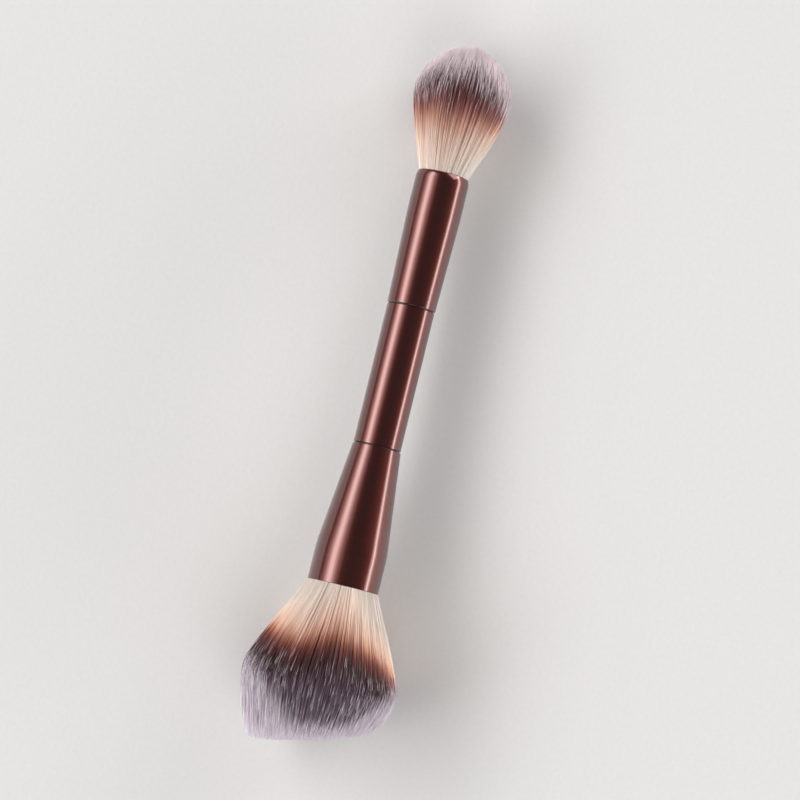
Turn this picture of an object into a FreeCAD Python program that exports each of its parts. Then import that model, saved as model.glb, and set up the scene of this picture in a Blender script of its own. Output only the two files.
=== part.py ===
import FreeCAD, Part
import math
import os
import Sketcher
from FreeCAD import Placement, Rotation, Vector

# A double ended makeup brush: a big powder tuft with a slanted end on one side
# and a domed blush tuft on the other, each in its own turned aluminium ferrule,
# with one aluminium sleeve between them as the handle.
# All lengths are in millimetres. Each piece is drawn along +X in a frame of its
# own and is then put in its place on the brush, which lies on both its bellies.

SIZES = {
    "handle_diameter": 12.7,
    "handle_length": 37.5,
    "sleeve_wall": 0.8,
    "seam_gap": 0.25,
    "joint_step": 0.125,
    "edge_break": 0.15,
    "lip_curl_length": 2.0,
    "stud_depth": 12.0,
    "stud_gap": 0.15,
    "stud_lead_in": 0.6,
    "stud_collar_step": 0.3,
    "crush_rib_count": 6,
    "crush_rib_width": 0.8,
    "crush_rib_gap": 0.03,
    "vent_diameter": 4.0,
    "glue_gap": 0.05,
    "lock_depth": 0.035,
    "lock_wander": 0.2,
    "valley_spread": 0.5,
    "tip_cap_radius": 0.9,
    # The powder end.
    "large_ferrule_length": 37.5,
    "large_mouth_diameter": 19.0,
    "large_bore_diameter": 18.2,
    "large_cone_length": 27.5,
    "large_cone_blend": 2.0,
    "large_lip_curl": 0.0,
    "large_root_depth": 8.0,
    "large_glue_length": 1.5,
    "large_belly_diameter": 40.8,
    "large_belly_reach": 24.8,
    "large_tuft_reach": 41.15,
    "large_flare_power": 1.22,
    "large_closing_power": 0.357,
    "large_narrowing": 0.25,
    "large_round_side_fullness": 7.8,
    "large_crisp_side_fullness": 39.0,
    "large_slant_angle": 14.0,
    "large_lock_count": 34,
    "large_flat_depth": 1.2,
    # The blush end.
    "small_ferrule_length": 36.0,
    "small_mouth_diameter": 14.3,
    "small_bore_diameter": 12.7,
    "small_cone_length": 25.0,
    "small_cone_blend": 0.0,
    "small_lip_curl": 0.45,
    "small_root_depth": 8.0,
    "small_glue_length": 1.5,
    "small_belly_diameter": 25.4,
    "small_belly_reach": 21.4,
    "small_tuft_reach": 35.2,
    "small_flare_power": 1.45,
    "small_closing_power": 0.64,
    "small_narrowing": 0.0,
    "small_round_side_fullness": 2.0,
    "small_crisp_side_fullness": 2.0,
    "small_slant_angle": 0.0,
    "small_lock_count": 24,
    "small_flat_depth": 0.75,
}

# How the rings that a tuft is skinned over are spread along it.
FLARE_RINGS = 5
CLOSING_RINGS = 9
CLOSING_CROWDING = 1.6
NARROWING_ONSET = 1.4
SLANT_ONSET = 2.2

# Steps of the waves that make the locks of a tuft differ from each other.
WANDER_STEP = 1.7
VALLEY_STEP = 2.4

# Two edges closer than this lie at the same place.
SAME_PLACE = 0.001

doc = FreeCAD.newDocument("double_ended_makeup_brush")
sizes = doc.addObject("Spreadsheet::Sheet", "Sizes")
for row, (alias, value) in enumerate(SIZES.items(), start=1):
    sizes.set(f"A{row}", alias.replace("_", " "))
    sizes.set(f"B{row}", str(value))
    sizes.setAlias(f"B{row}", alias)
doc.recompute()


def size(alias):
    """A driving dimension, read back from the sheet."""
    return float(sizes.get(alias))


def spelled(formula):
    """Put the sheet's name before each alias in a formula, for an expression."""
    for alias in sorted(SIZES, key=len, reverse=True):
        formula = formula.replace(f"[{alias}]", f"Sizes.{alias}")
    return formula


def for_end(end, formula):
    """A formula in which END stands for the large or the small end."""
    return formula.replace("END", end)


def new_body(name):
    body = doc.addObject("PartDesign::Body", name)
    body.Label = name
    return body


def origin_plane(body, role):
    return next(item for item in body.Origin.OriginFeatures if item.Role == role)


def worked_out(formula):
    """The value of a formula, with the sizes that the sheet holds now."""
    return float(sizes.evalExpression(spelled(formula)))


def bend(start, finish, radius):
    """An arc from start to finish that turns to the left."""
    chord = finish - start
    aside = math.sqrt(radius * radius - chord.Length * chord.Length / 4)
    left = Vector(-chord.y, chord.x, 0).normalize()
    centre = (start + finish) * 0.5 + left * aside
    start_angle = math.atan2(start.y - centre.y, start.x - centre.x)
    finish_angle = math.atan2(finish.y - centre.y, finish.x - centre.x)
    circle = Part.Circle(centre, Vector(0, 0, 1), radius)
    return Part.ArcOfCircle(circle, start_angle, finish_angle)


def bound(sketch, kind, places, formula):
    """Add a constraint to a sketch and bind its value to a formula of the sheet."""
    number = sketch.addConstraint(Sketcher.Constraint(kind, *places, worked_out(formula)))
    sketch.setExpression(f"Constraints[{number}]", spelled(formula))


def outline_sketch(body, name, role, corners, bends={}):
    """A closed outline whose corners are pairs of formulas, bound to the sheet.

    bends gives the radius of each side that is an arc, by the number of the
    corner that it starts from. The other sides are straight.
    """
    sketch = body.newObject("Sketcher::SketchObject", name)
    sketch.AttachmentSupport = [(origin_plane(body, role), "")]
    sketch.MapMode = "FlatFace"
    count = len(corners)
    spots = [Vector(worked_out(along), worked_out(out), 0) for along, out in corners]
    for index, start in enumerate(spots):
        finish = spots[(index + 1) % count]
        if index in bends:
            sketch.addGeometry(bend(start, finish, worked_out(bends[index])), False)
            bound(sketch, "Radius", [index], bends[index])
        else:
            sketch.addGeometry(Part.LineSegment(start, finish), False)
    for index in range(count):
        following = (index + 1) % count
        sketch.addConstraint(Sketcher.Constraint("Coincident", index, 2, following, 1))
    for index, (along, out) in enumerate(corners):
        bound(sketch, "DistanceX", [-1, 1, index, 1], along)
        bound(sketch, "DistanceY", [-1, 1, index, 1], out)
    return sketch


def turned(body, name, corners, bends={}):
    """A half section turned once round the X axis."""
    sketch = outline_sketch(body, name + "_section", "XY_Plane", corners, bends)
    turning = body.newObject("PartDesign::Revolution", name)
    turning.Profile = sketch
    turning.ReferenceAxis = (sketch, ["H_Axis"])
    turning.Angle = 360.0
    doc.recompute()
    return turning


def circles_at(feature, spots):
    """The names of the round edges at the given places: pairs of formulas."""
    names = []
    places = [(worked_out(along), worked_out(radius)) for along, radius in spots]
    for number, edge in enumerate(feature.Shape.Edges, start=1):
        if edge.Curve.TypeId != "Part::GeomCircle":
            continue
        for along, radius in places:
            near_along = abs(edge.Curve.Center.x - along) < SAME_PLACE
            if near_along and abs(edge.Curve.Radius - radius) < SAME_PLACE:
                names.append(f"Edge{number}")
    return names


def broken_edges(body, name, feature, spots):
    """Break the sharp edges at the given places."""
    chamfer = body.newObject("PartDesign::Chamfer", name)
    chamfer.Base = (feature, circles_at(feature, spots))
    chamfer.setExpression("Size", "Sizes.edge_break")
    doc.recompute()
    return chamfer


def handle_sleeve():
    """The drawn aluminium tube that the fingers hold."""
    body = new_body("handle_sleeve")
    outside = "[handle_diameter] / 2"
    inside = "[handle_diameter] / 2 - [sleeve_wall]"
    tube = turned(body, "tube", [
        ("0", inside),
        ("[handle_length]", inside),
        ("[handle_length]", outside),
        ("0", outside),
    ])
    ends = [("0", outside), ("[handle_length]", outside)]
    broken_edges(body, "soft_ends", tube, ends)
    return body


def ferrule(end):
    """A ferrule turned from bar: a cone from the joint and a straight neck.

    The hair is glued into the wide bore at its mouth, the joint stud into the
    narrow one at its foot, and a vent between them lets the air out. The lip
    curls in and the cone blends into the neck where the sheet has a size for it.
    """
    body = new_body(f"{end}_ferrule")
    joint = "([handle_diameter] / 2 + [joint_step])"
    mouth = for_end(end, "[END_mouth_diameter] / 2")
    lip = for_end(end, "[END_mouth_diameter] / 2 - [END_lip_curl]")
    bore = for_end(end, "[END_bore_diameter] / 2")
    cone = for_end(end, "[END_cone_length]")
    blend = for_end(end, "[END_cone_blend]")
    drop = for_end(end, "[END_lip_curl]")
    length = for_end(end, "[END_ferrule_length]")
    bore_floor = f"{length} - " + for_end(end, "[END_root_depth] - [END_glue_length]")
    stud_bore = "[handle_diameter] / 2 - [sleeve_wall]"
    vent = "[vent_diameter] / 2"
    corners = [
        ("0", stud_bore),
        ("[stud_depth]", stud_bore),
        ("[stud_depth]", vent),
        (bore_floor, vent),
        (bore_floor, bore),
        (length, bore),
        (length, lip),
    ]
    bends = {}
    if worked_out(drop) > 0:
        bends[len(corners) - 1] = f"([lip_curl_length]^2 + {drop}^2) / (2 * {drop})"
        corners.append((f"{length} - [lip_curl_length]", mouth))
    if worked_out(blend) > 0:
        pitch = f"atan(({mouth} - {joint}) / {cone})"
        bends[len(corners)] = f"{blend} / tan({pitch} / 2)"
        corners.append((f"{cone} + {blend}", mouth))
        corners.append((f"{cone} - {blend} * cos({pitch})", f"{mouth} - {blend} * sin({pitch})"))
    else:
        corners.append((cone, mouth))
    corners.append(("0", joint))
    blank = turned(body, "turned_blank", corners, bends)
    broken_edges(body, "soft_edges", blank, [("0", joint), (length, lip)])
    return body


def joint_stud(end):
    """The ribbed stud that joins a ferrule to the sleeve, with a thin collar between."""
    body = new_body(f"{end}_joint_stud")
    shank = "[handle_diameter] / 2 - [sleeve_wall] - [stud_gap]"
    collar = "[handle_diameter] / 2 - [stud_collar_step]"
    collar_far = "[stud_depth] + [seam_gap]"
    full = "2 * [stud_depth] + [seam_gap] - [stud_gap]"
    moulding = turned(body, "moulding", [
        ("[stud_gap]", "0"),
        (full, "0"),
        (full, f"{shank} - [stud_lead_in]"),
        (f"{full} - [stud_lead_in]", shank),
        (collar_far, shank),
        (collar_far, collar),
        ("[stud_depth]", collar),
        ("[stud_depth]", shank),
        ("[stud_gap] + [stud_lead_in]", shank),
        ("[stud_gap]", f"{shank} - [stud_lead_in]"),
    ])
    crest = "[handle_diameter] / 2 - [sleeve_wall] - [crush_rib_gap]"
    rib_start = "[stud_gap] + 2 * [stud_lead_in]"
    rib_end = f"{full} - 2 * [stud_lead_in]"
    rib_sketch = outline_sketch(body, "rib_plan", "XY_Plane", [
        (rib_start, f"{shank} / 2"),
        (rib_end, f"{shank} / 2"),
        (rib_end, crest),
        (rib_start, crest),
    ])
    rib = body.newObject("PartDesign::Pad", "crush_rib")
    rib.Profile = rib_sketch
    rib.Midplane = True
    rib.setExpression("Length", "Sizes.crush_rib_width")
    doc.recompute()
    ring = body.newObject("PartDesign::PolarPattern", "crush_ribs")
    ring.Originals = [rib]
    ring.Axis = (moulding.Profile[0], ["H_Axis"])
    ring.Angle = 360.0
    ring.setExpression("Occurrences", "Sizes.crush_rib_count")
    body.Tip = ring
    doc.recompute()
    return body


def root_glue(end):
    """The hardened epoxy under the hair, which fills the floor of the bore."""
    body = new_body(f"{end}_root_glue")
    length = for_end(end, "[END_glue_length]")
    radius = for_end(end, "[END_bore_diameter] / 2 - [glue_gap]")
    turned(body, "epoxy", [("0", "0"), (length, "0"), (length, radius), ("0", radius)])
    return body


def lock_ring(end, along, share, slant, closing):
    """One ring round a tuft, with a crest for each lock of hair and a valley between.

    share is the radius as a share of the belly's, and closing runs from 0 at the
    belly to 1 at the very end, where the round side has closed in further than
    the crisp one.
    """
    locks = round(size(f"{end}_lock_count"))
    belly = size(f"{end}_belly_diameter") / 2
    cap = size("tip_cap_radius")
    round_side = size(f"{end}_round_side_fullness")
    crisp_side = size(f"{end}_crisp_side_fullness")
    points = []
    for step in range(2 * locks):
        wander = size("lock_wander") * math.sin(step * step * WANDER_STEP + step)
        angle = math.pi * (step + wander) / locks
        fullness = round_side + (crisp_side - round_side) * (1 + math.cos(angle)) / 2
        closed = (1 - closing ** fullness) ** size(f"{end}_closing_power")
        reach = max(cap, belly * share * closed)
        if step % 2:
            shallower = size("valley_spread") * (1 + math.sin(step * VALLEY_STEP)) / 2
            reach *= 1 - size("lock_depth") * (1 - shallower)
        side = reach * math.cos(angle)
        height = reach * math.sin(angle)
        points.append(Vector(along + side * math.sin(slant), side * math.cos(slant), height))
    return points


def tuft_rings(end):
    """The rings of a tuft from its root to its tip, measured from the ferrule's mouth."""
    belly = size(f"{end}_belly_diameter") / 2
    neck = (size(f"{end}_bore_diameter") / 2 - size("glue_gap")) / belly
    belly_reach = size(f"{end}_belly_reach")
    reach = size(f"{end}_tuft_reach")
    rings = [lock_ring(end, -size(f"{end}_root_depth"), neck, 0.0, 0.0)]
    for step in range(FLARE_RINGS):
        part = step / FLARE_RINGS
        flare = 1 - (1 - part) ** size(f"{end}_flare_power")
        share = neck + (1 - neck) * flare
        rings.append(lock_ring(end, part * belly_reach, share, 0.0, 0.0))
    for step in range(CLOSING_RINGS + 1):
        closing = 1 - (1 - step / CLOSING_RINGS) ** CLOSING_CROWDING
        share = 1 - size(f"{end}_narrowing") * closing ** NARROWING_ONSET
        slant = math.radians(size(f"{end}_slant_angle")) * closing ** SLANT_ONSET
        along = belly_reach + closing * (reach - belly_reach)
        rings.append(lock_ring(end, along, share, slant, closing))
    return rings


def flat_face(corners):
    return Part.Face(Part.makePolygon([*corners, corners[0]]))


def ridged_solid(rings):
    """A closed solid skinned over the rings with flat facets, two between each four points."""
    faces = [flat_face(rings[0]), flat_face(rings[-1])]
    for near, far in zip(rings, rings[1:]):
        for index in range(len(near)):
            following = (index + 1) % len(near)
            faces.append(flat_face([near[index], near[following], far[following]]))
            faces.append(flat_face([near[index], far[following], far[index]]))
    return Part.makeSolid(Part.makeShell(faces))


def axis_height(end):
    """How high the brush's axis lies over the floor at one belly."""
    return size(f"{end}_belly_diameter") / 2 - size(f"{end}_flat_depth")


def mouth_place(end):
    """How far a ferrule's mouth lies from the middle of the handle."""
    return size("handle_length") / 2 + size("seam_gap") + size(f"{end}_ferrule_length")


def resting():
    """The brush on its bellies: tipped until both flats lie on the floor."""
    large_place = -mouth_place("large") - size("large_belly_reach")
    small_place = mouth_place("small") + size("small_belly_reach")
    drop = axis_height("large") - axis_height("small")
    tip = math.atan2(drop, small_place - large_place)
    lift = axis_height("large") * math.cos(tip) + large_place * math.sin(tip)
    turn = Rotation(Vector(0, 1, 0), math.degrees(tip))
    return Placement(Vector(0, 0, lift), turn)


def on_brush(end, along):
    """The place on the brush of a piece whose own zero lies this far from the middle."""
    outward = Placement()
    if end == "large":
        outward = Placement(Vector(), Rotation(Vector(0, 1, 0), 180))
    return outward.multiply(Placement(Vector(along, 0, 0), Rotation()))


def tuft(end, place):
    """A bundle of hair: a ridged form, pressed flat where it lies on the floor."""
    hair = ridged_solid(tuft_rings(end))
    span = 2 * (mouth_place(end) + size(f"{end}_tuft_reach"))
    floor = Part.makeBox(2 * span, span, span, Vector(-span, -span / 2, -span))
    floor.transformShape(place.inverse().toMatrix())
    feature = doc.addObject("Part::Feature", f"{end}_tuft")
    feature.Label = f"{end}_tuft"
    feature.Shape = hair.cut(floor).Solids[0]
    return feature


def assemble():
    """Make every piece and put it in its place on the resting brush."""
    rest = resting()
    half = size("handle_length") / 2
    pieces = []
    sleeve = handle_sleeve()
    sleeve.Placement = rest.multiply(on_brush("small", -half))
    pieces.append(sleeve)
    for end in ("large", "small"):
        glue_start = mouth_place(end) - size(f"{end}_root_depth") - size(f"{end}_glue_length")
        for piece, along in (
            (joint_stud(end), half - size("stud_depth")),
            (ferrule(end), half + size("seam_gap")),
            (root_glue(end), glue_start),
        ):
            piece.Placement = rest.multiply(on_brush(end, along))
            pieces.append(piece)
        place = rest.multiply(on_brush(end, mouth_place(end)))
        hair = tuft(end, place)
        hair.Placement = place
        pieces.append(hair)
    return pieces


def centre_over_origin(pieces):
    """Slide the whole brush until its bounding box stands over the origin."""
    doc.recompute()
    box = Part.makeCompound([piece.Shape for piece in pieces]).optimalBoundingBox()
    slide = Vector(-box.Center.x, -box.Center.y, 0)
    for piece in pieces:
        piece.Placement = Placement(slide, Rotation()).multiply(piece.Placement)
    doc.recompute()


def check(pieces):
    """Stop before anything is written if an object failed or a shape is not sound."""
    for item in doc.Objects:
        if "Invalid" in item.State or "Error" in item.State:
            raise RuntimeError(f"{item.Name} failed: {item.State}")
    for piece in pieces:
        if piece.Shape.isNull() or not piece.Shape.isValid():
            raise RuntimeError(f"{piece.Label} has no sound shape")


def write(pieces):
    os.makedirs("parts", exist_ok=True)
    for piece in pieces:
        piece.Shape.exportStep(os.path.join("parts", f"{piece.Label}.step"))
        box = piece.Shape.BoundBox
        print(f"{piece.Label}: {piece.Shape.Volume:.1f} mm3, lowest point {box.ZMin:.3f} mm")


brush_pieces = assemble()
centre_over_origin(brush_pieces)
check(brush_pieces)
write(brush_pieces)
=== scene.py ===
import math
import bmesh
import bpy
import numpy as np
from mathutils import Matrix, Vector


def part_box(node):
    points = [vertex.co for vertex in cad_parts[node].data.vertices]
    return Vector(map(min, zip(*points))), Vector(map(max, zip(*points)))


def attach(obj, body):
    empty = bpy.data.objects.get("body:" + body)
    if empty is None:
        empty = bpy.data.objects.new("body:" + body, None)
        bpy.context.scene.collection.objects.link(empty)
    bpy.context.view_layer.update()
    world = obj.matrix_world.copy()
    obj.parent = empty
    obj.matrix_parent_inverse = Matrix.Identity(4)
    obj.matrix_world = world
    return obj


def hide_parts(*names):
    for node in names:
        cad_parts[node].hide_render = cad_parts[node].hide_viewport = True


# Looks of the double ended makeup brush. The metal and what it holds are the
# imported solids. Each tuft is rebuilt as thousands of single hairs over a packed
# core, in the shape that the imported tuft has. Lengths are in millimetres where
# nothing else is said.

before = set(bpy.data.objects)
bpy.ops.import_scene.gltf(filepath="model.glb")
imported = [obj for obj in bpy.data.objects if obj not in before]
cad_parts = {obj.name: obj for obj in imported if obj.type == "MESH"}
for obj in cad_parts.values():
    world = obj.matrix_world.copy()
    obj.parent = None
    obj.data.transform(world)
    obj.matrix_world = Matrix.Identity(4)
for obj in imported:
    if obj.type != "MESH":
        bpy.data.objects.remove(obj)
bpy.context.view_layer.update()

MM = 0.001
TURN = 2 * math.pi

# Sizes of the brush, as in the source of the part.
HANDLE_LENGTH = 37.5
SEAM_GAP = 0.25
GLUE_GAP = 0.05

# The first lines of each end give the shape of its tuft, also as in the source.
# The next ones lay its hair: how many locks, how strongly a hair bends in with
# the outline, where the first and the last short hairs end, which share of all
# hairs is short and which ends on the face, and how deep the core ends under the
# tips. The last ones colour it: how much further out the dyed dark band starts
# on the crisp and on the round side; how much more sharply it starts there, which
# also makes the roots there paler, as painted light from the side lights; and
# where the pale tips start, in the middle and how much nearer on the two sides,
# where the nearer start is painted light from the side lights too.
ENDS = {
    "large": {
        "ferrule_length": 37.5, "bore_diameter": 18.2, "outward": -1,
        "belly_diameter": 40.8, "belly_reach": 24.8, "tuft_reach": 41.15,
        "flare_power": 1.22, "closing_power": 0.357, "narrowing": 0.25,
        "round_side_fullness": 7.8, "crisp_side_fullness": 39.0,
        "slant_angle": 14.0, "flat_depth": 1.2,
        "locks": 150, "bend_in": 0.3, "first_tip": 19.0, "last_side_tip": 0.96,
        "short_share": 0.27, "short_crowding": 0.6, "rim_depth": 0.17,
        "face_share": 0.36, "core_sink": 5.0,
        "crisp_delay": 2.8, "round_delay": 7.5, "crisp_root_light": 0.8, "round_root_light": 0.8,
        "pale_from": 40.0, "crisp_tip_light": 17.0, "round_tip_light": 20.0,
    },
    "small": {
        "ferrule_length": 36.0, "bore_diameter": 12.7, "outward": 1,
        "belly_diameter": 25.4, "belly_reach": 21.4, "tuft_reach": 35.2,
        "flare_power": 1.45, "closing_power": 0.64, "narrowing": 0.0,
        "round_side_fullness": 2.0, "crisp_side_fullness": 2.0,
        "slant_angle": 0.0, "flat_depth": 0.75,
        "locks": 100, "bend_in": 0.7, "first_tip": 16.5, "last_side_tip": 0.97,
        "short_share": 0.2, "short_crowding": 0.5, "rim_depth": 0.5,
        "face_share": 0.24, "core_sink": 1.8,
        "crisp_delay": 0.8, "round_delay": 1.5, "crisp_root_light": 0.0, "round_root_light": 0.8,
        "pale_from": 29.5, "crisp_tip_light": 6.0, "round_tip_light": 12.0,
    },
}
NARROWING_ONSET = 1.4
SLANT_ONSET = 2.2


def axis_height(end):
    """How high the axis lies over the floor at one belly."""
    return ENDS[end]["belly_diameter"] / 2 - ENDS[end]["flat_depth"]


def mouth_place(end):
    """How far a ferrule's mouth lies from the middle of the handle."""
    return HANDLE_LENGTH / 2 + SEAM_GAP + ENDS[end]["ferrule_length"]


reach_apart = sum(mouth_place(end) + ENDS[end]["belly_reach"] for end in ENDS)
tip_angle = math.atan2(axis_height("large") - axis_height("small"), reach_apart)
low, high = (Vector(corner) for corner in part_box("handle_sleeve"))
middle = (low + high) / 2
AXIS = Vector((math.cos(tip_angle), 0, -math.sin(tip_angle)))
SIDE = Vector((0, 1, 0))
UPRIGHT = AXIS.cross(SIDE)


def in_world(end, along, side, height):
    """Places measured from a ferrule's mouth, as places in the world in metres."""
    outward = ENDS[end]["outward"]
    far = outward * (mouth_place(end) + along)
    axes = np.array([AXIS, SIDE, UPRIGHT])
    flat = np.stack([far, side, outward * height], axis=-1) * MM
    return flat @ axes + np.array(middle)


# Hair

LOCK_SEED = 5
HAIR_SEED = 50
ROOT_DEPTH = 1.0          # how far the roots lie inside the ferrule's mouth
HELD_LENGTH = 1.0         # how far out of the mouth the hair is still held in,
HELD_SHARE = 0.985        # and to which share of the mouth's radius
HAIR_RADII = (0.055, 0.085)
HAIR_TAPER = {0.0: 1.0, 0.6: 1.0, 0.85: 0.75, 1.0: 0.3}  # how thick, by place
HAIR_RINGS = (0.0, 0.25, 0.47, 0.6, 0.71, 0.85, 1.0)
RING_JITTER = 0.05
HAIR_CORNERS = 3
LOCK_JITTER = 0.35        # in distances between two locks, as the next one is
ROOT_SPREAD = 1.1
TIP_FOLLOW = 0.85         # how much of its root's distance from the lock a tip keeps
TIP_SPREAD = 0.012        # radians
SHORT_ALL_ROUND = 0.3     # in short_share, and what the flanks have more
SHORT_ON_FLANKS = 2.2
RIM_CROWDING = 1.5
LOCK_LIFT = 0.07
HAIR_LIFT = 0.08
STRAY_SHARE = 0.11
STRAY_LIFT = (0.2, 0.9)
WAVE_HEIGHT = 0.05
WAVE_ANGLES = (3, 9)      # radians of wave from root to tip
FACE_RADIUS_SHARE = 0.96  # how much of the face the tips on it fill
SHORT_DEPTH = 0.07        # how deep the tips lie under the outline
LONG_DEPTH = 0.6
LEAST_LONG_DEPTH = 0.12
FACE_SIDE_DEPTH = 0.3     # how much of its depth a tip on the face has sideways
LEAST_TIP_RADIUS = 0.2
HAIR_NARROWING = 0.9      # how much of the outline's narrowing a hair follows
SHORT_OF_END = 0.01       # keeps a hair off the point where the outline closes
FLOOR_CLEARANCE = 0.06
FLOOR_SPREAD = 0.25
PRESSED_THICKNESS = 0.1   # of a hair that lies on the floor
LOCK_DYE_SPREAD = 0.8     # how unevenly the dye starts, by lock and by hair
HAIR_DYE_SPREAD = 0.5
BAND_START = 15.0         # where the dark band starts in the middle of a side
PALE_SPREAD = 1.6         # how unevenly the pale tips start, and how long they are
PALE_TIP_SPREAD = 0.9
PALE_LENGTH = 2.3         # how near its tip a pale hair counts as, at most
MIDDLE_TONE = 0.5         # how light a hair is, and how unevenly
LOCK_TONE_SPREAD = 0.05
HAIR_TONE_SPREAD = 0.17
SHORT_TONE = 0.1          # how much lighter the short hairs are
CORE_CORNERS = 96
CORE_RINGS = 18
CORE_LAST_RING = 0.985    # in shares of the way from the belly to the end
CORE_HELD_SHARE = 0.95
CORE_INSET = (0.25, 1.3)  # how deep the core lies, at the mouth and at most
CORE_INSET_GROWTH = 0.06  # how much deeper it lies with each millimetre
CORE_SINK_FROM = 0.75     # in shares of the tuft's reach
CORE_FLOOR_CLEARANCE = 0.35
CORE_TIP_SHARE = 0.9      # how near the tips the core counts as, to be dyed
CORE_TIP_LEAST = 2.0
# The core's tone is lower than the hairs': painted shade in the gaps between them.
CORE_SHADE_TONE = 0.3


def neck_radius(end):
    """The radius of the tuft in the ferrule's mouth."""
    return ENDS[end]["bore_diameter"] / 2 - GLUE_GAP


def fullness(end, angle):
    """How squarely the tuft ends: more so on the crisp side than on the round one."""
    sizes = ENDS[end]
    crisp = (1 + np.cos(angle)) / 2
    least, most = sizes["round_side_fullness"], sizes["crisp_side_fullness"]
    return least + (most - least) * crisp


def closing_at(end, along):
    """How far a place lies between the belly, at 0, and the very end, at 1."""
    sizes = ENDS[end]
    closing_length = sizes["tuft_reach"] - sizes["belly_reach"]
    return np.clip((along - sizes["belly_reach"]) / closing_length, 0, 1)


def radius_at(end, along, angle, follow, bend_in):
    """The radius of the outermost hair at a distance from the mouth.

    follow is the share of the outline's narrowing past the belly, and bend_in
    the power with which the hair bends in where the outline closes.
    """
    sizes = ENDS[end]
    belly = sizes["belly_diameter"] / 2
    neck = neck_radius(end)
    part = np.clip(along / sizes["belly_reach"], 0, 1)
    flare = neck + (belly - neck) * (1 - (1 - part) ** sizes["flare_power"])
    closing = closing_at(end, along)
    closed = (1 - closing ** fullness(end, angle)) ** sizes["closing_power"]
    narrowed = 1 - follow * sizes["narrowing"] * closing ** NARROWING_ONSET
    return flare * narrowed * closed ** bend_in


def on_surface(end, along, angle):
    """The place on the tuft's surface: (along, side, height)."""
    radius = radius_at(end, along, angle, 1.0, 1.0)
    slant = math.radians(ENDS[end]["slant_angle"]) * closing_at(end, along) ** SLANT_ONSET
    side = radius * np.cos(angle)
    return along + side * np.sin(slant), side * np.cos(slant), radius * np.sin(angle)


def grow(name, places, values):
    """An object of closed strands, pulled out ring by ring.

    places is in metres, by ring, strand and corner. values gives, by ring and
    strand, what the material reads from each named attribute.
    """
    rings, strands, corners = places.shape[:3]
    mesh = bmesh.new()
    bmesh.ops.create_circle(mesh, cap_ends=True, segments=corners, radius=MM)
    while len(mesh.faces) < strands:
        bmesh.ops.duplicate(mesh, geom=mesh.faces[:strands - len(mesh.faces)])
    ring_of, strand_of, corner_of = [
        mesh.verts.layers.int.new(key) for key in ("ring", "strand", "corner")
    ]
    for strand, face in enumerate(mesh.faces):
        for corner, vert in enumerate(face.verts):
            vert[strand_of] = strand
            vert[corner_of] = corner
    ends = mesh.faces[:] + mesh.edges[:]
    for ring in range(1, rings):
        ends = bmesh.ops.extrude_face_region(mesh, geom=ends)["geom"]
        for part in ends:
            if isinstance(part, bmesh.types.BMVert):
                part[ring_of] = ring
    data = bpy.data.meshes.new(name)
    mesh.to_mesh(data)
    mesh.free()
    numbers = {}
    for key in ("ring", "strand", "corner"):
        numbers[key] = np.zeros(len(data.vertices), dtype=np.int32)
        data.attributes[key].data.foreach_get("value", numbers[key])
        data.attributes.remove(data.attributes[key])
    spots = places[numbers["ring"], numbers["strand"], numbers["corner"]]
    data.vertices.foreach_set("co", spots.astype(np.float32).ravel())
    for key, value in values.items():
        layer = data.attributes.new(key, "FLOAT", "POINT")
        by_vertex = value[numbers["ring"], numbers["strand"]]
        layer.data.foreach_set("value", by_vertex.astype(np.float32))
    data.update()
    made = bpy.data.objects.new(name, data)
    bpy.context.scene.collection.objects.link(made)
    return made


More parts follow.
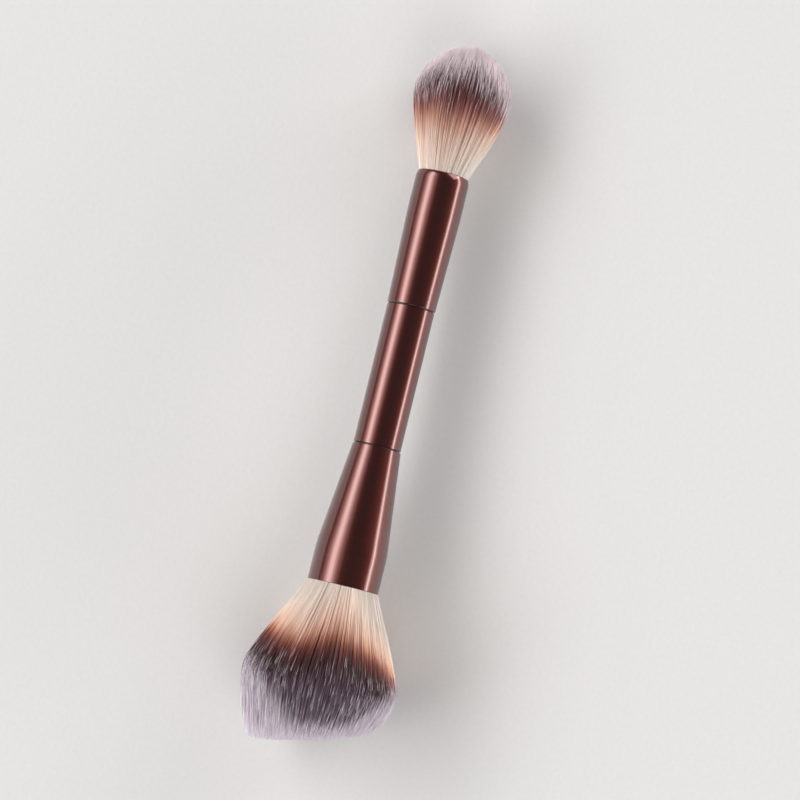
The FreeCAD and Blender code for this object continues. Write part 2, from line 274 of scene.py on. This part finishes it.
def hairs(end, name, count, seed):
    """Single hairs of a tuft.

    Short ones end on its side, over the darker lengths of the long ones, which
    end at its rim. The others end on its face.
    """
    sizes = ENDS[end]
    chance = np.random.default_rng(seed)
    locks = sizes["locks"]
    lock = chance.integers(locks, size=count)
    same = np.random.default_rng(LOCK_SEED)
    jitter = same.uniform(-LOCK_JITTER, LOCK_JITTER, locks)
    lock_angle = ((np.arange(locks) + jitter) * TURN / locks)[lock]
    lock_lift = same.normal(0, LOCK_LIFT, locks)[lock]
    lock_dye = same.normal(0, LOCK_DYE_SPREAD, locks)[lock]
    lock_tone = same.normal(0, LOCK_TONE_SPREAD, locks)[lock]
    root_angle = lock_angle + chance.normal(0, ROOT_SPREAD, count) * TURN / locks
    angle = lock_angle + (root_angle - lock_angle) * TIP_FOLLOW + chance.normal(0, TIP_SPREAD, count)

    # Where each hair ends. More short ones show on the two flanks.
    kind = chance.random(count)
    short_here = SHORT_ALL_ROUND + SHORT_ON_FLANKS * np.cos(angle) ** 2
    short = kind < sizes["short_share"] * short_here
    on_face = kind > 1 - sizes["face_share"]
    closing_length = sizes["tuft_reach"] - sizes["belly_reach"]
    last = sizes["belly_reach"] + sizes["last_side_tip"] * closing_length
    near = chance.random(count)
    short_tip = sizes["first_tip"] + (last - sizes["first_tip"]) * near ** sizes["short_crowding"]
    rim_tip = last - sizes["rim_depth"] * closing_length * near ** RIM_CROWDING
    share = FACE_RADIUS_SHARE * np.sqrt(chance.random(count))
    face_closing = (1 - share ** (1 / sizes["closing_power"])) ** (1 / fullness(end, angle))
    face_tip = sizes["belly_reach"] + face_closing * closing_length
    tip = np.where(short, short_tip, np.where(on_face, face_tip, rim_tip))
    along, side, height = on_surface(end, tip, angle)

    short_depth = chance.exponential(SHORT_DEPTH, count)
    long_depth = LEAST_LONG_DEPTH + chance.exponential(LONG_DEPTH, count)
    depth = np.where(short, short_depth, long_depth)
    side_depth = np.where(on_face, FACE_SIDE_DEPTH * depth, depth)
    tip_radius = np.maximum(np.hypot(side, height) - side_depth, LEAST_TIP_RADIUS)
    along = along - np.where(on_face, depth, 0)
    tip_turn = np.arctan2(height, side)

    # The way from root to tip: flow is its distance from the axis, and swing
    # its turn about the axis.
    rings = np.array(HAIR_RINGS)[:, None]
    rings = rings + chance.uniform(-RING_JITTER, RING_JITTER, count) * np.sin(math.pi * rings)
    start = -ROOT_DEPTH
    length = along - start
    far = start + rings * length
    unslanted = np.minimum(start + rings * (tip - start), sizes["tuft_reach"] - SHORT_OF_END)
    flow = radius_at(end, unslanted, angle, HAIR_NARROWING, sizes["bend_in"])
    flow = tip_radius * flow / flow[-1]
    held = far < HELD_LENGTH
    flow = np.where(held, np.minimum(flow, HELD_SHARE * neck_radius(end)), flow)
    stray = chance.random(count) < STRAY_SHARE
    fuzz = HAIR_LIFT * chance.normal(0, 1, count) + stray * chance.uniform(*STRAY_LIFT, count)
    flow = flow + lock_lift * rings ** 0.5 + fuzz * rings ** 5
    bends = rings * chance.uniform(*WAVE_ANGLES, count) + chance.uniform(0, TURN, count)
    wave = WAVE_HEIGHT * np.sin(bends) * rings
    turning = (tip_turn - root_angle + TURN / 2) % TURN - TURN / 2
    swing = root_angle + turning * rings ** 1.5
    swing = swing + wave / np.maximum(flow, 1.0)
    side = flow * np.cos(swing)
    height = flow * np.sin(swing)

    # Corners around that way, which get nearer to each other at the tip.
    thick = chance.uniform(*HAIR_RADII, count)
    taper = np.interp(rings, list(HAIR_TAPER), list(HAIR_TAPER.values()))
    turn = chance.uniform(0, TURN, count)
    corner = np.arange(HAIR_CORNERS) * TURN / HAIR_CORNERS
    wide = (thick * taper)[:, :, None]
    places = in_world(
        end,
        np.broadcast_to(far[:, :, None], far.shape + (HAIR_CORNERS,)),
        side[:, :, None] + wide * np.cos(turn[None, :, None] + corner),
        height[:, :, None] + wide * np.sin(turn[None, :, None] + corner),
    )
    least = MM * (FLOOR_CLEARANCE + FLOOR_SPREAD * chance.random(count))[None, :, None]
    least = least + MM * PRESSED_THICKNESS * (corner > 0)
    places[..., 2] = np.maximum(places[..., 2], least)

    # What the material reads: how far along the dye, how near the tip, and tone.
    crisp = np.clip(np.cos(swing), 0, 1)
    rounded = np.clip(-np.cos(swing), 0, 1)
    delay = sizes["crisp_delay"] * np.sin(math.pi * crisp) + sizes["round_delay"] * rounded ** 3
    dye = far + lock_dye + chance.normal(0, HAIR_DYE_SPREAD, count) - delay
    # Paler roots and a sharper start of the band on the two flanks: the paler roots are painted
    # light from the side lights, not dye.
    root_light = sizes["crisp_root_light"] * crisp ** 2 + sizes["round_root_light"] * rounded ** 2
    dye = dye - root_light * np.maximum(BAND_START - dye, 0)
    # Pale tips start nearer on the two flanks: painted light from the side lights, not dye.
    nearer = sizes["crisp_tip_light"] * crisp + sizes["round_tip_light"] * rounded ** 2
    pale_from = sizes["pale_from"] - nearer + lock_dye + chance.normal(0, PALE_SPREAD, count)
    from_tip = (1 - rings) * length + chance.exponential(PALE_TIP_SPREAD, count)
    tone = MIDDLE_TONE + lock_tone + chance.normal(0, HAIR_TONE_SPREAD, count)
    tone = tone + SHORT_TONE * short
    values = {
        "dye": dye,
        "from_tip": np.minimum(from_tip, np.maximum(pale_from - far, 0) + PALE_LENGTH),
        "tone": np.broadcast_to(tone, far.shape),
    }
    return grow(name, places, values)


def core(end, name):
    """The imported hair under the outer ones, which shows between them."""
    sizes = ENDS[end]
    angle = np.arange(CORE_CORNERS) * TURN / CORE_CORNERS
    closing_length = sizes["tuft_reach"] - sizes["belly_reach"]
    last = sizes["belly_reach"] + CORE_LAST_RING * closing_length
    far = np.concatenate([[-ROOT_DEPTH], np.linspace(0.0, last, CORE_RINGS)])
    along, side, height = on_surface(end, far[:, None], angle[None, :])
    radius = np.hypot(side, height)
    inset = np.clip(CORE_INSET[0] + CORE_INSET_GROWTH * along, 0, CORE_INSET[1])
    keep = (radius - inset) / radius
    held = np.minimum(keep, CORE_HELD_SHARE * neck_radius(end) / radius)
    keep = np.where(along > HELD_LENGTH, keep, held)
    sink_from = CORE_SINK_FROM * sizes["tuft_reach"]
    sunk = np.clip((along - sink_from) / (sizes["tuft_reach"] - sink_from), 0, 1)
    places = in_world(end, along - sizes["core_sink"] * sunk, side * keep, height * keep)[:, None]
    places[..., 2] = np.maximum(places[..., 2], CORE_FLOOR_CLEARANCE * MM)
    values = {
        "dye": far[:, None],
        "from_tip": CORE_TIP_SHARE * (sizes["tuft_reach"] - far)[:, None] + CORE_TIP_LEAST,
        # Darker than the hairs: painted shade in the gaps between them.
        "tone": np.full((len(far), 1), CORE_SHADE_TONE),
    }
    return grow(name, places, values)


# Materials

def linear(hex_colour):
    """A written colour as the linear values that a shader takes."""
    channels = [int(hex_colour[start:start + 2], 16) / 255 for start in (1, 3, 5)]
    return [c / 12.92 if c <= 0.04045 else ((c + 0.055) / 1.055) ** 2.4 for c in channels] + [1.0]


def add(tree, kind, inputs=(), stops=(), **settings):
    """Add a node. inputs gives each socket a value or the socket that it is linked to."""
    made = tree.nodes.new(kind)
    for name, value in settings.items():
        setattr(made, name, value)
    for key, value in dict(inputs).items():
        if isinstance(value, bpy.types.NodeSocket):
            tree.links.new(value, made.inputs[key])
        else:
            made.inputs[key].default_value = value
    for index, (place, colour) in enumerate(stops):
        elements = made.color_ramp.elements
        element = elements[index] if index < 2 else elements.new(place)
        element.position = place
        element.color = linear(colour)
    return made


def new_material(name):
    material = bpy.data.materials.new(name)
    material.use_nodes = True
    material.node_tree.nodes.clear()
    return material, material.node_tree


def finish_material(tree, shader):
    add(tree, "ShaderNodeOutputMaterial", {"Surface": shader.outputs[0]})


def noise_scale(size):
    """The scale at which a noise repeats about every size, in millimetres."""
    return 1 / (size * MM)


# The palest roots show mostly on the two flanks, where they are painted light.
DYE_FROM = -6.0  # the dye value of the palest roots


def hair_material(name, stops, tip_colour, white_from, white_to, ends_at):
    """Crimped synthetic hair, dip dyed: cream root, brown band, pale tips.

    The eye sees a soft sheen along the hairs, and lighter and darker ones.
    """
    material, tree = new_material(name)
    dye = add(tree, "ShaderNodeAttribute", attribute_name="dye").outputs["Fac"]
    from_tip = add(tree, "ShaderNodeAttribute", attribute_name="from_tip").outputs["Fac"]
    tone = add(tree, "ShaderNodeAttribute", attribute_name="tone").outputs["Fac"]
    place = add(tree, "ShaderNodeMapRange", {
        "Value": dye, "From Min": DYE_FROM, "From Max": ends_at,
    }).outputs[0]
    shares = [((far - DYE_FROM) / (ends_at - DYE_FROM), colour) for far, colour in stops]
    dyed = add(tree, "ShaderNodeValToRGB", {"Fac": place}, stops=shares).outputs["Color"]
    pale = add(tree, "ShaderNodeMapRange", {
        "Value": from_tip, "From Min": white_from, "From Max": white_to,
        "To Min": 1.0, "To Max": 0.0,
    }, interpolation_type="SMOOTHSTEP").outputs[0]
    tipped = add(tree, "ShaderNodeMix", {
        0: pale, 6: dyed, 7: linear(tip_colour),
    }, data_type="RGBA").outputs[2]
    # Hairs differ in tone at random; the core's lower tone is painted shade.
    shade = add(tree, "ShaderNodeMapRange", {
        "Value": tone, "To Min": 0.68, "To Max": 1.3,
    }).outputs[0]
    shaded = add(tree, "ShaderNodeVectorMath", {0: tipped, "Scale": shade}, operation="SCALE")
    shader = add(tree, "ShaderNodeBsdfPrincipled", {
        "Base Color": shaded.outputs[0], "Roughness": 0.48, "IOR": 1.55,
    })
    finish_material(tree, shader)
    return material


def metal_material():
    """Turned aluminium under a brown anodised skin and a clear gloss coat.

    The skin gives a deep, soft red brown glow round each light, and the coat a
    pale, sharper one on it. The lines of the turning are drawn coarser than the
    real ones, so that they show.
    """
    material, tree = new_material("brown_anodised_aluminium")
    spot = add(tree, "ShaderNodeTexCoord").outputs["Object"]
    across, around = noise_scale(1 / 9), noise_scale(50 / 3)
    stretched = add(tree, "ShaderNodeMapping", {
        "Vector": spot, "Scale": (across, around, around),
    }).outputs[0]
    lines = add(tree, "ShaderNodeTexNoise", {
        "Vector": stretched, "Scale": 1.0, "Detail": 2.0,
    }).outputs["Fac"]
    rough = add(tree, "ShaderNodeMapRange", {
        "Value": lines, "To Min": 0.3, "To Max": 0.38,
    }).outputs[0]
    tint = add(tree, "ShaderNodeValToRGB", {"Fac": lines}, stops=[
        (0.3, "#632b24"), (0.7, "#693028"),
    ]).outputs["Color"]
    shader = add(tree, "ShaderNodeBsdfPrincipled", {
        "Base Color": tint, "Metallic": 1.0, "Roughness": rough, "Coat Weight": 1.0,
        "Coat Roughness": 0.1, "Coat IOR": 1.7,
    })
    finish_material(tree, shader)
    return material


def moulding_material():
    """Black injection moulded plastic, with the fine grain of its tool.

    The grain spreads the light, so it is a dull black.
    """
    material, tree = new_material("black_moulded_abs")
    spot = add(tree, "ShaderNodeTexCoord").outputs["Object"]
    grain = add(tree, "ShaderNodeTexNoise", {
        "Vector": spot, "Scale": noise_scale(0.25),
    }).outputs["Fac"]
    tint = add(tree, "ShaderNodeValToRGB", {"Fac": grain}, stops=[
        (0.3, "#1c1a1a"), (0.7, "#262423"),
    ]).outputs["Color"]
    shader = add(tree, "ShaderNodeBsdfPrincipled", {
        "Base Color": tint, "Roughness": 0.45, "IOR": 1.54,
    })
    finish_material(tree, shader)
    return material


def epoxy_material():
    """Hardened amber epoxy, a little cloudy: smooth and warm, as if still wet."""
    material, tree = new_material("hardened_epoxy")
    spot = add(tree, "ShaderNodeTexCoord").outputs["Object"]
    cloud = add(tree, "ShaderNodeTexNoise", {
        "Vector": spot, "Scale": noise_scale(5 / 3),
    }).outputs["Fac"]
    tint = add(tree, "ShaderNodeValToRGB", {"Fac": cloud}, stops=[
        (0.3, "#c09a52"), (0.7, "#d2b272"),
    ]).outputs["Color"]
    shader = add(tree, "ShaderNodeBsdfPrincipled", {
        "Base Color": tint, "Roughness": 0.2, "IOR": 1.55,
    })
    finish_material(tree, shader)
    return material


def floor_material():
    """Matt pale studio card: soft shadows and hardly any gloss."""
    material, tree = new_material("pale_studio_card")
    spot = add(tree, "ShaderNodeTexCoord").outputs["Object"]
    tooth = add(tree, "ShaderNodeTexNoise", {
        "Vector": spot, "Scale": noise_scale(10 / 9),
    }).outputs["Fac"]
    tint = add(tree, "ShaderNodeValToRGB", {"Fac": tooth}, stops=[
        (0.3, "#dedcda"), (0.7, "#e1dfdd"),
    ]).outputs["Color"]
    shader = add(tree, "ShaderNodeBsdfPrincipled", {
        "Base Color": tint, "Roughness": 0.85, "IOR": 1.45,
    })
    finish_material(tree, shader)
    return material


metal = metal_material()
moulding = moulding_material()
epoxy = epoxy_material()
# The first stops, the palest roots, show mostly on the two flanks, where they are painted light.
powder_hair = hair_material("dyed_powder_hair", [
    (-6.0, "#dccfc4"), (-1.0, "#e6d6c9"), (3.0, "#eed7c7"), (8.0, "#efceba"),
    (11.0, "#e4b59c"), (13.0, "#c98b73"), (15.0, "#96513f"), (17.0, "#6c3029"),
    (20.0, "#44201f"), (23.0, "#4f3139"), (28.0, "#654f5b"), (45.0, "#816f82"),
], tip_colour="#eae0e9", white_from=0.8, white_to=3.9, ends_at=45.0)
blush_hair = hair_material("dyed_blush_hair", [
    (-6.0, "#ddd3ca"), (-1.0, "#e6d8cc"), (3.0, "#ebd6c8"), (8.0, "#e9cdbd"),
    (12.0, "#d6a48f"), (14.0, "#c08876"), (16.0, "#a1665c"), (18.0, "#864842"),
    (20.5, "#68312f"), (24.0, "#5f2f30"), (29.0, "#6f4348"), (36.0, "#906f79"),
], tip_colour="#f2e4e8", white_from=0.8, white_to=5.0, ends_at=36.0)

for node, material in {
    "large_ferrule": metal, "small_ferrule": metal, "handle_sleeve": metal,
    "large_joint_stud": moulding, "small_joint_stud": moulding,
    "large_root_glue": epoxy, "small_root_glue": epoxy,
}.items():
    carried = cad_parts[node].data.materials
    carried.clear()
    carried.append(material)

for end, pieces, count, material, slot in (
    ("large", 3, 5000, powder_hair, "powder_hair"),
    ("small", 2, 5000, blush_hair, "blush_hair"),
):
    made = [core(end, f"{end}_tuft_core")]
    for number in range(1, pieces + 1):
        made.append(hairs(end, f"{end}_tuft_hair_{number}", count, HAIR_SEED + number))
    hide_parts(f"{end}_tuft")
    for piece in made:
        piece.data.materials.append(material)
        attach(piece, "root")


# Floor, light and camera

bpy.ops.mesh.primitive_plane_add(size=6.0)
floor = bpy.context.object
floor.name = "studio_floor"
floor.data.materials.append(floor_material())

world = bpy.data.worlds.new("studio_air")
bpy.context.scene.world = world
world.use_nodes = True
backdrop = world.node_tree.nodes["Background"]
backdrop.inputs["Color"].default_value = linear("#f2f4f8")
backdrop.inputs["Strength"].default_value = 0.1


def soft_light(name, direction, distance, wide, tall, radiance):
    """A softbox aimed at the brush, with its tall side along the floor."""
    direction = direction.normalized()
    data = bpy.data.lights.new(name, "AREA")
    data.shape = "RECTANGLE"
    data.size = tall
    data.size_y = wide
    data.energy = radiance * math.pi * wide * tall
    lamp = bpy.data.objects.new(name, data)
    bpy.context.scene.collection.objects.link(lamp)
    level = direction.cross(Vector((0, 0, 1))).normalized()
    turn = Matrix((level, direction.cross(level), direction)).transposed().to_4x4()
    lamp.matrix_world = Matrix.Translation(middle + direction * distance) @ turn


def leant(degrees_from_zenith, toward_x, toward_y):
    lean = math.radians(degrees_from_zenith)
    return Vector((toward_x * math.sin(lean), toward_y * math.sin(lean), math.cos(lean)))


def softbox(name, direction, nearest, tall, sheets):
    """A softbox of nested sheets of light, one behind the other.

    Its cloth is brightest in the middle. nearest and tall are in metres. sheets
    gives the half width of each, in degrees as seen from the brush, and its
    radiance.
    """
    for number, (half_width, radiance) in enumerate(sheets):
        distance = nearest + 0.01 * number
        wide = 2 * distance * math.tan(math.radians(half_width))
        soft_light(f"{name}_{number}", direction, distance, wide, tall, radiance)


# The softboxes stand far off, so that the floor is lit evenly. The two fills past
# the ends of the brush soften its shadows and don't show in its metal.
softbox("left_softbox", leant(51, 0, 1), 3.6, 5.9, [
    (7.5, 2.8), (15, 1.7), (22, 0.6), (30, 0.4),
])
softbox("right_softbox", leant(80, 0, -1), 2.6, 4.7, [(3, 5.0), (9, 2.4)])
soft_light("far_fill", leant(72, 0.8, -0.6), 3.0, 2.0, 2.0, 3.2)
soft_light("near_fill", leant(45, -0.9, -0.44), 3.0, 2.25, 2.25, 2.0)

# The camera sees the brush a little from the large end. The photograph shows
# the brush leaning to the right by LEAN, with the small head up.
LENS = 189.0
SENSOR = 36.0
DISTANCE = 1.1
IMAGE_SIDE = 800
PIXEL = DISTANCE * SENSOR / LENS / IMAGE_SIDE
RIGHT_OF_MIDDLE, UNDER_MIDDLE = 6, 22.5  # what the camera aims at, in pixels
LEAN = math.radians(13.75)
TOWARD_SMALL = math.radians(4.7)

view = AXIS * math.sin(TOWARD_SMALL) - UPRIGHT * math.cos(TOWARD_SMALL)
axis_shown = (AXIS - view * AXIS.dot(view)).normalized()
across = view.cross(axis_shown)
image_up = axis_shown * math.cos(LEAN) - across * math.sin(LEAN)
image_right = across * math.cos(LEAN) + axis_shown * math.sin(LEAN)
aim = middle + (image_right * RIGHT_OF_MIDDLE - image_up * UNDER_MIDDLE) * PIXEL

data = bpy.data.cameras.new("photo_view")
data.lens = LENS
data.sensor_width = SENSOR
camera = bpy.data.objects.new("photo_view", data)
bpy.context.scene.collection.objects.link(camera)
turn = Matrix((image_right, image_up, -view)).transposed().to_4x4()
camera.matrix_world = Matrix.Translation(aim - view * DISTANCE) @ turn
bpy.context.scene.camera = camera
bpy.context.scene.view_settings.view_transform = "Standard"
